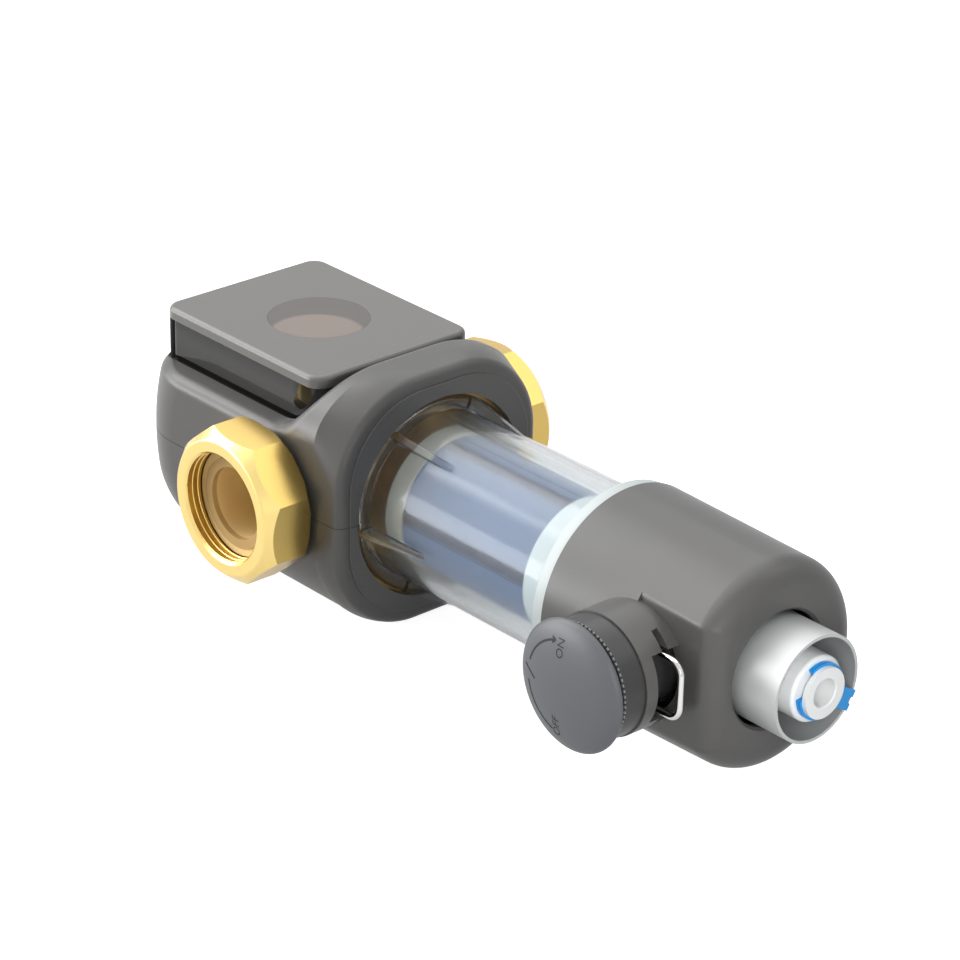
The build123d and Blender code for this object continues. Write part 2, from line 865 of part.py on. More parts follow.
with BuildPart() as screen_mesh:
    turned(
        (screen_start, screen_radius - screen_thickness),
        (screen_start, screen_radius),
        (bottom_ring_start, screen_radius),
        (bottom_ring_start, screen_radius - screen_thickness),
    )
    for rib in range(cage_rib_count):
        with BuildSketch(radial(cage_rib_turn + 360 * rib / cage_rib_count)) as crease:
            with Locations(((screen_start + bottom_ring_start) / 2, screen_radius)):
                Rectangle(2 * bottom_ring_start, 2 * screen_groove_depth)
        extrude(crease.sketch, amount=screen_groove_width / 2, both=True, mode=Mode.SUBTRACT)

with BuildPart() as screen_cage:
    cage_radius = screen_radius - screen_thickness - cage_clearance
    cage_pitch = (bottom_ring_start - screen_start - cage_hoop_length) / (cage_hoop_count - 1)
    for hoop in range(cage_hoop_count):
        hoop_at = screen_start + hoop * cage_pitch
        turned(
            (hoop_at, cage_radius - cage_thickness),
            (hoop_at, cage_radius),
            (hoop_at + cage_hoop_length, cage_radius),
            (hoop_at + cage_hoop_length, cage_radius - cage_thickness),
        )
    for rib in range(cage_rib_count):
        with BuildSketch(radial(cage_rib_turn + 360 * rib / cage_rib_count)) as rib_side:
            with Locations((screen_start, cage_radius - cage_thickness)):
                Rectangle(
                    bottom_ring_start - screen_start,
                    cage_thickness - 2 * cage_clearance - cage_rib_width**2 / 8 / cage_radius,
                    align=(Align.MIN, Align.MIN),
                )
        extrude(rib_side.sketch, amount=cage_rib_width / 2, both=True)

with BuildPart() as screen_bottom_ring:
    turned(
        (bottom_ring_start, bottom_ring_radius - bottom_ring_wall),
        (bottom_ring_start, bottom_ring_radius),
        (floor_at, bottom_ring_radius),
        (floor_at, bottom_ring_radius - bottom_ring_wall),
    )


# White base: the ring that shows, the socket for the bowl's foot and the spigot to the valve

with BuildPart() as base_adapter:
    turned(
        (base_start, bowl_radius + slip_clearance),
        (base_start, base_ring_radius),
        (housing_start, base_ring_radius),
        (housing_start, base_skirt_radius),
        (housing_start + base_skirt_length, base_skirt_radius),
        (valve_start, base_cone_radius),
        (valve_start, base_spigot_radius),
        (spigot_end, base_spigot_radius),
        (spigot_end, base_bore),
        (floor_at, base_bore),
        (floor_at, bowl_radius + slip_clearance),
    )


# Drain housing


def housing_form(inset):
    """The housing without its boss: a tapered drum with a flat towards the knob."""
    start = housing_start - inset
    end = housing_end - inset
    slope = -housing_taper / (housing_end - housing_start)
    with BuildPart() as form:
        turned(
            (start, 0),
            (start, housing_radius - inset - slope * inset),
            (end, housing_radius - housing_taper - inset - slope * inset),
            (end, 0),
        )
        with BuildSketch(facing_knob(flat_at - inset)):
            with Locations((knob_at, 0)):
                Rectangle(2 * end_from_knob, 3 * housing_radius, align=(Align.MIN, Align.CENTER))
        extrude(amount=housing_radius, mode=Mode.SUBTRACT)
        creases = form.faces().filter_by(Axis.Y).sort_by(Axis.Y)[0].edges().filter_by(
            lambda edge: edge.center().X > knob_at and edge.center().X < end - 1
        )
        fillet(creases, flat_edge_round)
        rim = form.faces().sort_by(Axis.X)[-1].edges()
        fillet(rim, housing_end_round - inset)
    return form.part


with BuildPart() as drain_housing:
    add(housing_form(0))
    turned(
        (0, 0),
        (0, boss_radius),
        (boss_end, boss_radius),
        (boss_end, 0),
        plane=knob_side,
        about=knob_axis,
    )
    add(housing_form(housing_wall), mode=Mode.SUBTRACT)
    turned(
        (0, 0),
        (0, boss_bore),
        (2 * boss_end, boss_bore),
        (2 * boss_end, 0),
        plane=knob_side,
        about=knob_axis,
        mode=Mode.SUBTRACT,
    )
    turned(
        (housing_start - 1, 0),
        (housing_start - 1, base_skirt_radius + housing_fit),
        (housing_start + base_skirt_length + 1, base_skirt_radius + housing_fit),
        (housing_start + base_skirt_length + 1, 0),
        mode=Mode.SUBTRACT,
    )
    turned(
        (knob_at, 0),
        (knob_at, sleeve_radius + sleeve_hole_clearance),
        (housing_end - sleeve_hole_bevel, sleeve_radius + sleeve_hole_clearance),
        (housing_end, sleeve_radius + sleeve_hole_clearance + sleeve_hole_bevel),
        (housing_end, 0),
        mode=Mode.SUBTRACT,
    )
    # Pocket behind the wire loop, and the two slots that the wire's legs slide in
    with BuildSketch(facing_knob(flat_at)):
        with Locations((knob_at + pocket_start, 0)):
            Rectangle(boss_radius, 2 * pocket_half_height, align=(Align.MIN, Align.CENTER))
    extrude(amount=pocket_front - flat_at, mode=Mode.SUBTRACT)
    with BuildSketch(facing_knob(clip_depth)):
        for half in (1, -1):
            with BuildLine():
                reach = 2 * boss_radius
                low_angle = math.asin((clip_leg - clip_wire - clip_clearance) / boss_radius)
                high_angle = math.radians(slot_turn)
                Polyline(
                    (knob_at, 0),
                    (knob_at + reach * math.cos(low_angle), half * reach * math.sin(low_angle)),
                    (knob_at + reach * math.cos(high_angle), half * reach * math.sin(high_angle)),
                    close=True,
                )
            make_face()
    extrude(amount=clip_wire + clip_clearance, both=True, mode=Mode.SUBTRACT)

with BuildPart() as wire_clip:
    with BuildLine(facing_knob(clip_depth)) as clip_path:
        FilletPolyline(
            (knob_at - clip_tip, clip_leg),
            (knob_at + clip_loop, clip_leg),
            (knob_at + clip_loop, -clip_leg),
            (knob_at - clip_tip, -clip_leg),
            radius=clip_bend,
        )
    with BuildSketch(Plane(origin=clip_path.wires()[0] @ 0, z_dir=(1, 0, 0))):
        Circle(clip_wire)
    sweep(path=clip_path.wires()[0])


# Drain valve

with BuildPart() as valve_body:
    turned(
        (valve_start, 0),
        (valve_start, valve_radius),
        (valve_end, valve_radius),
        (valve_end, 0),
    )
    turned(
        (0, 0),
        (0, neck_radius),
        (neck_end, neck_radius),
        (neck_end, 0),
        plane=knob_side,
        about=knob_axis,
    )
    turned(
        (valve_start - 1, 0),
        (valve_start - 1, base_spigot_radius + slip_clearance),
        (spigot_end, base_spigot_radius + slip_clearance),
        (spigot_end, chamber_radius),
        (valve_end + 1, chamber_radius),
        (valve_end + 1, 0),
        mode=Mode.SUBTRACT,
    )
    turned(
        (0, 0),
        (0, stem_radius + slip_clearance),
        (neck_end - bonnet_depth, stem_radius + slip_clearance),
        (neck_end - bonnet_depth, bonnet_bore),
        (2 * neck_end, bonnet_bore),
        (2 * neck_end, 0),
        plane=knob_side,
        about=knob_axis,
        mode=Mode.SUBTRACT,
    )
    with BuildSketch(facing_knob(clip_depth)):
        for half in (1, -1):
            with Locations((knob_at, half * (clip_leg - clip_wire - clip_clearance + neck_radius))):
                Rectangle(3 * neck_radius, 2 * neck_radius)
    extrude(amount=clip_wire + clip_clearance, both=True, mode=Mode.SUBTRACT)

with BuildPart() as valve_ball:
    with Locations((knob_at, 0, axis_height)):
        Sphere(ball_radius)
    with BuildSketch(Plane.XY):
        with Locations((knob_at, 0)):
            Circle(ball_bore)
    extrude(amount=2 * axis_height, mode=Mode.SUBTRACT)
    with BuildSketch(facing_knob(stem_foot - stem_tang_depth - slip_clearance)):
        with Locations((knob_at, 0)):
            Rectangle(stem_tang + slip_clearance, 3 * ball_radius)
    extrude(amount=ball_radius, mode=Mode.SUBTRACT)

with BuildPart() as valve_seats:
    seat_out = chamber_radius - slip_clearance
    with BuildSketch(axial) as seat_section:
        for seat_at in (spigot_end, seat_end - seat_length):
            with Locations((seat_at, seat_bore)):
                Rectangle(seat_length, seat_out - seat_bore, align=(Align.MIN, Align.MIN))
        with Locations((knob_at, 0)):
            Circle(ball_radius + ball_clearance, mode=Mode.SUBTRACT)
    revolve(seat_section.sketch, axis=long_axis)

with BuildPart() as valve_stem:
    stem_groove = seal_cord + seal_groove_margin
    stem_bore = stem_radius + slip_clearance
    turned(
        (stem_foot, 0),
        (stem_foot, stem_radius),
        (stem_seal_at - stem_groove, stem_radius),
        (stem_seal_at - stem_groove, stem_bore - 2 * seal_cord),
        (stem_seal_at + stem_groove, stem_bore - 2 * seal_cord),
        (stem_seal_at + stem_groove, stem_radius),
        (stem_end, stem_radius),
        (stem_end, 0),
        plane=knob_side,
        about=knob_axis,
    )
    with BuildSketch(facing_knob(stem_foot)):
        with Locations((knob_at, 0)):
            Rectangle(stem_tang, stem_tang_length)
    extrude(amount=-stem_tang_depth)

with BuildPart() as stem_seal:
    o_ring(
        stem_seal_at,
        stem_bore - seal_cord,
        seal_cord - slip_clearance / 2,
        plane=knob_side,
        about=knob_axis,
    )


# Collar with its ring of fine teeth, and the domed knob

with BuildPart() as knob_collar:
    turned(
        (boss_end - bonnet_length, stem_radius + running_clearance),
        (boss_end - bonnet_length, bonnet_bore - slip_clearance),
        (boss_end, bonnet_bore - slip_clearance),
        (boss_end, collar_radius),
        (collar_end - collar_chamfer, collar_radius),
        (collar_end, collar_radius - collar_chamfer),
        (collar_end, stem_radius + running_clearance),
        plane=knob_side,
        about=knob_axis,
    )

with BuildPart() as knob:
    with BuildSketch(knob_side):
        with BuildLine():
            Polyline(
                (knob_back + knob_height, 0),
                (stem_end + knob_gap, 0),
                (stem_end + knob_gap, stem_radius + window_fit),
                (knob_back, stem_radius + window_fit),
                (knob_back, knob_neck_radius),
                (knob_back + knob_neck_length, knob_neck_radius),
            )
            Spline(
                (knob_back + knob_neck_length, knob_neck_radius),
                (knob_back + knob_rim_at, knob_rim_radius),
                tangents=((1, 0.6), (1, 0)),
            )
            EllipticalCenterArc(
                (knob_back + knob_rim_at, 0),
                knob_height - knob_rim_at,
                knob_rim_radius,
                start_angle=0,
                arc_size=90,
            )
        make_face()
    revolve(axis=knob_axis)


# Drain outlet: a steel sleeve round a push-fit for the drain tube

with BuildPart() as drain_sleeve:
    turned(
        (valve_end, sleeve_radius - sleeve_wall),
        (valve_end, sleeve_radius),
        (sleeve_end, sleeve_radius),
        (sleeve_end, sleeve_radius - sleeve_wall),
    )

with BuildPart() as push_fit_body:
    seal_groove = seal_cord + seal_groove_margin
    turned(
        (seat_end, fitting_way),
        (seat_end, chamber_radius - slip_clearance),
        (valve_end, chamber_radius - slip_clearance),
        (valve_end, sleeve_radius - sleeve_wall - window_fit),
        (valve_end + fitting_flange_length, sleeve_radius - sleeve_wall - window_fit),
        (valve_end + fitting_flange_length, fitting_radius),
        (fitting_end, fitting_radius),
        (fitting_end, collet_radius + slip_clearance),
        (fitting_end - collet_depth - slip_clearance, collet_radius + slip_clearance),
        (tube_seal_at + seal_groove, tube_bore + 2 * seal_cord + slip_clearance),
        (tube_seal_at - seal_groove, tube_bore + 2 * seal_cord + slip_clearance),
        (tube_seal_at - seal_groove, tube_bore),
        (tube_stop, tube_bore),
        (tube_stop, fitting_way),
    )
    front_edges = push_fit_body.faces().sort_by(Axis.X)[-1].edges()
    fillet(front_edges.sort_by(SortBy.RADIUS)[-1], fitting_round)

with BuildPart() as tube_seal:
    o_ring(tube_seal_at, tube_bore + seal_cord + slip_clearance, seal_cord)

with BuildPart() as collet:
    turned(
        (fitting_end - collet_depth, tube_bore),
        (fitting_end - collet_depth, collet_radius),
        (collet_end - collet_flange_length, collet_radius),
        (collet_end - collet_flange_length, collet_flange_radius),
        (collet_end, collet_flange_radius),
        (collet_end, tube_bore + collet_lead_in),
        (collet_end - collet_lead_in, tube_bore),
    )

with BuildPart() as lock_clip:
    with BuildSketch(across(fitting_end + lock_clip_play, lock_clip_turn)):
        Circle(lock_clip_radius)
        Rectangle(lock_tab_reach, 2 * lock_tab_half_width, align=(Align.MIN, Align.CENTER))
        with Locations((lock_tab_reach, 0)):
            Circle(lock_tab_notch, mode=Mode.SUBTRACT)
        Circle(collet_radius + slip_clearance, mode=Mode.SUBTRACT)
        with BuildLine():
            jaw = math.radians(lock_clip_opening / 2)
            Polyline(
                (0, 0),
                (-2 * lock_clip_radius * math.cos(jaw), 2 * lock_clip_radius * math.sin(jaw)),
                (-2 * lock_clip_radius * math.cos(jaw), -2 * lock_clip_radius * math.sin(jaw)),
                close=True,
            )
        make_face(mode=Mode.SUBTRACT)
    extrude(amount=lock_clip_length)


pieces = {
    "head_shell_front": head_shell_front,
    "head_shell_rear": head_shell_rear,
    "shell_screws": shell_screws,
    "front_panel": front_panel,
    "panel_box": panel_box,
    "window_lens": window_lens,
    "gauge_plug": gauge_plug,
    "gauge_seal": gauge_seal,
    "head_body": head_body,
    "bowl": bowl,
    "bowl_seal": bowl_seal,
    "screen_top_ring": screen_top_ring,
    "screen_mesh": screen_mesh,
    "screen_cage": screen_cage,
    "screen_bottom_ring": screen_bottom_ring,
    "base_adapter": base_adapter,
    "base_seal": base_seal,
    "drain_housing": drain_housing,
    "wire_clip": wire_clip,
    "valve_body": valve_body,
    "valve_seats": valve_seats,
    "valve_ball": valve_ball,
    "valve_stem": valve_stem,
    "stem_seal": stem_seal,
    "knob_collar": knob_collar,
    "knob": knob,
    "drain_sleeve": drain_sleeve,
    "push_fit_body": push_fit_body,
    "tube_seal": tube_seal,
    "collet": collet,
    "lock_clip": lock_clip,
}
for port, side in (("inlet", -1), ("outlet", 1)):
    pieces[port + "_tailpiece"] = tailpiece(side)
    pieces[port + "_gasket"] = gasket(side)
    pieces[port + "_nut"] = union_nut(side)

os.makedirs("parts", exist_ok=True)
for node, piece in pieces.items():
    piece.part.label = node
    export_step(piece.part, f"parts/{node}.step")
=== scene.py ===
"""Looks of the spin-down sediment filter.

It gives the CAD nodes their finishes, and adds the fine pieces that only show: threads, teeth and marks.
"""

import json
import math

import bmesh
import bpy
from mathutils import Matrix, Vector


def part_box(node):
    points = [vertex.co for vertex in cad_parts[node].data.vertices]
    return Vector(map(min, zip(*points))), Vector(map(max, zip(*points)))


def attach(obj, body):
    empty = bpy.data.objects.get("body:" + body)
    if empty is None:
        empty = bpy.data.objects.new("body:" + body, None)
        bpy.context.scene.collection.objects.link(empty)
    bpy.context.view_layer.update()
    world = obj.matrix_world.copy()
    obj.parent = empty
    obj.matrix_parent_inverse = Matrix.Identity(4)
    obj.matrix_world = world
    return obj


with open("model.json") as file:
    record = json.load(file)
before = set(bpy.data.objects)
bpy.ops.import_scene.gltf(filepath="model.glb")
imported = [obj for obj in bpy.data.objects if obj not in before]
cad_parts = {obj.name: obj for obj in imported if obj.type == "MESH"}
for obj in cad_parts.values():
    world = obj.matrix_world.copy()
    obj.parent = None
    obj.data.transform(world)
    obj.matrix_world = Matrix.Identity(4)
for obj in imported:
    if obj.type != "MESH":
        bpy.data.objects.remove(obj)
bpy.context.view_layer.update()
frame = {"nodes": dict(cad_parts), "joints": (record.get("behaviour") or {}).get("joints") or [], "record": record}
scene = bpy.context.scene

MM = 0.001

# Sockets of a Mix node set to colour, which have no names of their own
FIRST = 6
SECOND = 7
MIXED = 2

# Camera, fitted to the photograph's viewing angle
view_azimuth = math.radians(48.03)
view_elevation = math.radians(25.64)
view_roll = math.radians(1.14)
view_distance = 1.2404
view_lens = 136.15
sensor_width = 36.0
view_target = Vector((52.85, 6.18, 55.15)) * MM

# Places, read from the frame
joints = {joint["name"]: joint for joint in frame["joints"]}
mounts = {mount["name"]: mount for mount in frame["record"]["mounts"]}
knob_centre = Vector(joints["knob_turn"]["pos_m"])
filter_axis = Vector(joints["inlet_nut_swivel"]["pos_m"])

# Thread of the union nuts
thread_pitch = 2.309 * MM
thread_ridge = 0.3 * MM  # radius of the ridge, which stands for the thread's crest
thread_radius = mounts["inlet"]["dims"]["r_mm"] * MM
thread_length = mounts["inlet"]["dims"]["length_mm"] * MM
thread_steps = 64  # points in a turn
ridge_sides = 6

# Ring of fine teeth between the collar and the knob
tooth_count = 72
tooth_ring_radius = 20.35 * MM
tooth_ring_steps = 64
tooth_width = 0.9 * MM
tooth_height = 0.5 * MM
tooth_depth = 0.55 * MM

# Marks on the knob: two arcs, an arrow head, a tick and the words
mark_radius = 16.3 * MM
mark_width = 0.7 * MM
mark_lift = 0.06 * MM
mark_ray = 1.0  # metres in front of the knob, from where the marks are cast onto it
on_arc = (105.0, 165.0)  # degrees from +X, seen from the front
off_arc = (190.0, 254.0)
arc_step = 2.0  # degrees
tick_ends = ((12.6 * MM, 184.6), (18.3 * MM, 173.4))  # radius, degrees
arrow_length = 1.9 * MM
arrow_lean = (162.0, 222.0)  # degrees, the two barbs
barb_steps = 3
tick_steps = 8
word_height = 3.15 * MM
type_over_capitals = 1.35  # size of the type over the height of its capitals
on_word_at = (-1.5 * MM, 14.0 * MM)
off_word_at = (-2.3 * MM, -13.8 * MM)

# Floor
floor_half = 6.0
floor_drop = 0.2 * MM  # keeps it clear of the flat back


def srgb(code):
    """Linear colour of an sRGB hex value."""
    channels = [int(code[i : i + 2], 16) / 255 for i in (1, 3, 5)]
    return [c / 12.92 if c <= 0.04045 else ((c + 0.055) / 1.055) ** 2.4 for c in channels] + [1.0]


def add(tree, kind, inputs=None, **settings):
    """Add a node with its settings, and set or link its inputs."""
    node = tree.nodes.new(kind)
    for name, value in settings.items():
        setattr(node, name, value)
    for key, value in (inputs or {}).items():
        if isinstance(value, bpy.types.NodeSocket):
            tree.links.new(value, node.inputs[key])
        else:
            node.inputs[key].default_value = value
    return node


def new_material(name, colour, **sockets):
    """A Principled material with plain values on its own sockets.

    Where a pattern takes over the colour, the plain one is its mean, for viewers that read no pattern.
    """
    material = bpy.data.materials.new(name)
    material.use_nodes = True
    shader = material.node_tree.nodes["Principled BSDF"]
    shader.inputs["Base Color"].default_value = srgb(colour)
    for key, value in sockets.items():
        shader.inputs[key.replace("_", " ")].default_value = value
    return material


def grain(material, size, height, roughness=None):
    """A fine moulded or cast grain of a size in metres, and broad clouds of a changing roughness."""
    tree = material.node_tree
    shader = tree.nodes["Principled BSDF"]
    at = add(tree, "ShaderNodeTexCoord").outputs["Object"]
    noise = add(tree, "ShaderNodeTexNoise", {"Vector": at, "Scale": 1 / size, "Detail": 3.0})
    bump = add(tree, "ShaderNodeBump", {"Height": noise.outputs["Fac"], "Distance": height})
    tree.links.new(bump.outputs["Normal"], shader.inputs["Normal"])
    if roughness:
        cloud_size = 40 * size
        cloud = add(tree, "ShaderNodeTexNoise", {"Vector": at, "Scale": 1 / cloud_size, "Detail": 4.0})
        spread = add(
            tree,
            "ShaderNodeMapRange",
            {"Value": cloud.outputs["Fac"], "To Min": roughness[0], "To Max": roughness[1]},
        )
        tree.links.new(spread.outputs["Result"], shader.inputs["Roughness"])


def turning_lines(material, axis, pitch, height):
    """Fine rings left by a lathe tool round an axis: noise that only changes along it."""
    drawn_out = 60  # how much longer than wide the noise is round the axis
    tree = material.node_tree
    shader = tree.nodes["Principled BSDF"]
    stretch = [1 / drawn_out] * 3
    stretch[axis] = 1.0
    at = add(tree, "ShaderNodeTexCoord").outputs["Object"]
    lines = add(tree, "ShaderNodeMapping", {"Vector": at, "Scale": stretch})
    noise = add(
        tree,
        "ShaderNodeTexNoise",
        {"Vector": lines.outputs["Vector"], "Scale": 1 / pitch, "Detail": 2.0},
    )
    bump = add(tree, "ShaderNodeBump", {"Height": noise.outputs["Fac"], "Distance": height})
    tree.links.new(bump.outputs["Normal"], shader.inputs["Normal"])


# Finishes


def moulded_abs():
    """ABS moulded in a spark-eroded tool: satin warm grey, with a grain that softens every highlight."""
    material = new_material("moulded_grey_abs", "#4f4e4d", Roughness=0.34)
    grain(material, 0.35 * MM, 0.01 * MM, (0.3, 0.4))
    return material


def satin_abs():
    """The same ABS from a smoother tool: the plate reflects a little more of the sky."""
    material = new_material("satin_grey_abs", "#686765", Roughness=0.3)
    grain(material, 0.3 * MM, 0.005 * MM, (0.26, 0.34))
    return material


def smoked_acrylic():
    """Polished smoked acrylic with painted shade: a painted shadow makes it darkest at the top under the plate,
    painted shade darkens the foot, and it is palest a little above the middle.
    """
    palest_at = 0.6  # share of the box's height
    material = new_material("smoked_acrylic", "#1c1b1a", Roughness=0.08)
    grain(material, 6 * MM, 0.01 * MM)
    tree = material.node_tree
    low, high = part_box("panel_box")
    at = add(tree, "ShaderNodeTexCoord").outputs["Object"]
    axes = add(tree, "ShaderNodeSeparateXYZ", {"Vector": at})
    share = add(
        tree,
        "ShaderNodeMapRange",
        {"Value": axes.outputs["Z"], "From Min": low.z, "From Max": high.z},
    )
    # Painted shade by height: near black under the plate's overhang, dark at the foot, palest at palest_at
    tone = add(tree, "ShaderNodeValToRGB", {"Fac": share.outputs["Result"]})
    ramp = tone.color_ramp.elements
    ramp[0].color = srgb("#13110f")
    ramp[1].color = srgb("#060606")
    middle = ramp.new(palest_at)
    middle.color = srgb("#2d2c2a")
    tree.links.new(tone.outputs["Color"], tree.nodes["Principled BSDF"].inputs["Base Color"])
    return material


def tinted_window():
    """Lightly smoked acrylic disc, warm from the brass under it, with a painted pool of light: a lens-shaped paler
    part to one side, the rest in painted shade.
    """
    lit_towards = Vector((0.58, -0.52, 0.0))  # middle of the paler part, in radii of the disc
    lit_edge = (0.86, 0.98)  # where the paler part fades, in radii
    material = new_material("tinted_window_acrylic", "#8d8783", Roughness=0.12, Alpha=0.86)
    grain(material, 5 * MM, 0.004 * MM)
    tree = material.node_tree
    low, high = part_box("window_lens")
    radius = (high.x - low.x) / 2
    lit = (low + high) / 2 + radius * lit_towards
    lit.z = high.z
    at = add(tree, "ShaderNodeTexCoord").outputs["Object"]
    apart = add(tree, "ShaderNodeVectorMath", {0: at, 1: lit}, operation="DISTANCE")
    share = add(
        tree,
        "ShaderNodeMapRange",
        {
            "Value": apart.outputs["Value"],
            "From Min": lit_edge[0] * radius,
            "From Max": lit_edge[1] * radius,
        },
        interpolation_type="SMOOTHSTEP",
    )
    # Painted light: the lens-shaped part is painted paler, the rest of the disc darker
    tone = add(
        tree,
        "ShaderNodeMix",
        {"Factor": share.outputs["Result"], FIRST: srgb("#91847c"), SECOND: srgb("#686461")},
        data_type="RGBA",
    )
    tree.links.new(tone.outputs[MIXED], tree.nodes["Principled BSDF"].inputs["Base Color"])
    return material


def turned_brass():
    """Lathe-turned brass: light gold, rings of tool marks round the port axis."""
    material = new_material("turned_brass", "#ac8950", Roughness=0.36, Metallic=0.6)
    turning_lines(material, 1, 0.25 * MM, 0.004 * MM)
    return material


def cast_brass():
    """As-cast brass of the tailpieces' bores: dull, and painted paler than the turned brass to stand for the light
    inside the bores.
    """
    # Painted light: the pale colour lifts the bores, which lie in shade
    material = new_material("cast_brass", "#ecd29a", Roughness=0.6, Metallic=0.1)
    grain(material, 0.5 * MM, 0.01 * MM)
    return material


def polished_brass():
    """Forged brass of the union nuts, with painted sheen: the turned faces and chamfers painted bright gold, the
    flats painted tan.
    """
    painted_sheen_lean = (0.1, 0.3)  # share of a normal along the port axis, on a flat and on a turned face
    material = new_material("polished_brass", "#efd083", Roughness=0.24, Metallic=1.0)
    grain(material, 1.2 * MM, 0.008 * MM, (0.2, 0.28))
    tree = material.node_tree
    facing = add(tree, "ShaderNodeNewGeometry")
    axes = add(tree, "ShaderNodeSeparateXYZ", {"Vector": facing.outputs["True Normal"]})
    along = add(tree, "ShaderNodeMath", {0: axes.outputs["Y"]}, operation="ABSOLUTE")
    turned = add(
        tree,
        "ShaderNodeMapRange",
        {"Value": along.outputs[0], "From Min": painted_sheen_lean[0], "From Max": painted_sheen_lean[1]},
    )
    # Painted sheen: faces that look along the port axis are painted bright gold, the flats a darker tan
    tone = add(
        tree,
        "ShaderNodeMix",
        {"Factor": turned.outputs["Result"], FIRST: srgb("#d8b96c"), SECOND: srgb("#f4d88c")},
        data_type="RGBA",
    )
    tree.links.new(tone.outputs[MIXED], tree.nodes["Principled BSDF"].inputs["Base Color"])
    return material


def clear_polycarbonate():
    """Clear injected polycarbonate: water-white, faintly milky, refracting at its thick edges."""
    material = new_material(
        "clear_polycarbonate", "#f2f6f8", Roughness=0.12, IOR=1.4, Transmission_Weight=0.98
    )
    tree = material.node_tree
    shader = tree.nodes["Principled BSDF"]
    rays = add(tree, "ShaderNodeLightPath")
    passing = add(tree, "ShaderNodeBsdfTransparent", {"Color": srgb("#eef2f4")})
    light = add(
        tree,
        "ShaderNodeMixShader",
        {"Fac": rays.outputs["Is Shadow Ray"], 1: shader.outputs["BSDF"], 2: passing.outputs["BSDF"]},
    )
    tree.links.new(light.outputs["Shader"], tree.nodes["Material Output"].inputs["Surface"])
    return material


def woven_steel():
    """Woven stainless cloth: blue-grey, with two darker lines of painted shade round it.

    Its pitch is drawn coarser than the real one, to show.
    """
    weave_pitch = 0.6 * MM
    weave_height = 0.05 * MM
    cloth_radius = 23.9 * MM
    band_turns = (101.0, 173.0)  # degrees from +Y
    band_core = 3.0
    band_half = 9.0
    material = new_material("woven_stainless_mesh", "#56657e", Roughness=0.55, Metallic=0.2)
    tree = material.node_tree
    shader = tree.nodes["Principled BSDF"]
    at = add(tree, "ShaderNodeTexCoord").outputs["Object"]
    axes = add(tree, "ShaderNodeSeparateXYZ", {"Vector": at})
    height = add(tree, "ShaderNodeMath", {0: axes.outputs["Z"], 1: filter_axis.z}, operation="SUBTRACT")
    turn = add(tree, "ShaderNodeMath", {0: height.outputs[0], 1: axes.outputs["Y"]}, operation="ARCTAN2")

    # A wave round the cloth for its warp, one along it for its weft, and their product for the weave
    waves_round = round(math.pi * cloth_radius / weave_pitch)
    warp = add(tree, "ShaderNodeMath", {0: turn.outputs[0], 1: float(waves_round)}, operation="MULTIPLY")
    weft = add(
        tree, "ShaderNodeMath", {0: axes.outputs["X"], 1: math.pi / weave_pitch}, operation="MULTIPLY"
    )
    warp_wave = add(tree, "ShaderNodeMath", {0: warp.outputs[0]}, operation="SINE")
    weft_wave = add(tree, "ShaderNodeMath", {0: weft.outputs[0]}, operation="SINE")
    weave = add(
        tree, "ShaderNodeMath", {0: warp_wave.outputs[0], 1: weft_wave.outputs[0]}, operation="MULTIPLY"
    )
    bump = add(
        tree,
        "ShaderNodeBump",
        {"Height": weave.outputs[0], "Distance": weave_height, "Strength": 0.6},
    )
    tree.links.new(bump.outputs["Normal"], shader.inputs["Normal"])
    lift = add(tree, "ShaderNodeMapRange", {"Value": weave.outputs[0], "From Min": -1.0})
    tone = add(tree, "ShaderNodeValToRGB", {"Fac": lift.outputs["Result"]})
    tone.color_ramp.elements[0].color = srgb("#2c466a")
    tone.color_ramp.elements[1].color = srgb("#4b6a90")

    colour = tone.outputs["Color"]
    # Painted shade: two soft dark lines at band_turns, which don't follow the cage's ribs
    for band in band_turns:
        apart = add(
            tree, "ShaderNodeMath", {0: turn.outputs[0], 1: math.radians(band)}, operation="SUBTRACT"
        )
        away = add(tree, "ShaderNodeMath", {0: apart.outputs[0]}, operation="ABSOLUTE")
        shade = add(
            tree,
            "ShaderNodeMapRange",
            {
                "Value": away.outputs[0],
                "From Min": math.radians(band_core),
                "From Max": math.radians(band_half),
                "To Min": 1.0,
                "To Max": 0.0,
            },
            interpolation_type="SMOOTHSTEP",
        )
        darker = add(
            tree,
            "ShaderNodeMix",
            {"Factor": shade.outputs["Result"], FIRST: colour, SECOND: srgb("#11233f")},
            data_type="RGBA",
        )
        colour = darker.outputs[MIXED]
    tree.links.new(colour, shader.inputs["Base Color"])
    return material


def grey_acetal():
    """Acetal of the screen's cage: dull blue-grey."""
    material = new_material("grey_acetal", "#5a6a82", Roughness=0.5)
    grain(material, 0.4 * MM, 0.01 * MM)
    return material


def natural_acetal():
    """Uncoloured acetal of the screen's upper ring: a translucent beige."""
    material = new_material("natural_acetal", "#aeab9f", Roughness=0.4)
    grain(material, 0.5 * MM, 0.006 * MM)
    return material


def white_nylon():
    """Glass-filled white nylon: matt, faintly cool."""
    material = new_material("white_nylon", "#bfc7c7", Roughness=0.4)
    grain(material, 0.4 * MM, 0.008 * MM, (0.38, 0.5))
    return material


def white_acetal():
    """Bright white acetal of the push fitting: smooth and waxy."""
    material = new_material("white_acetal", "#eceeee", Roughness=0.34)
    grain(material, 0.5 * MM, 0.005 * MM)
    return material


def fluoropolymer():
    """Machined fluoropolymer of the valve's seats: waxy white."""
    material = new_material("white_fluoropolymer", "#f0efe9", Roughness=0.36)
    turning_lines(material, 0, 0.2 * MM, 0.003 * MM)
    return material


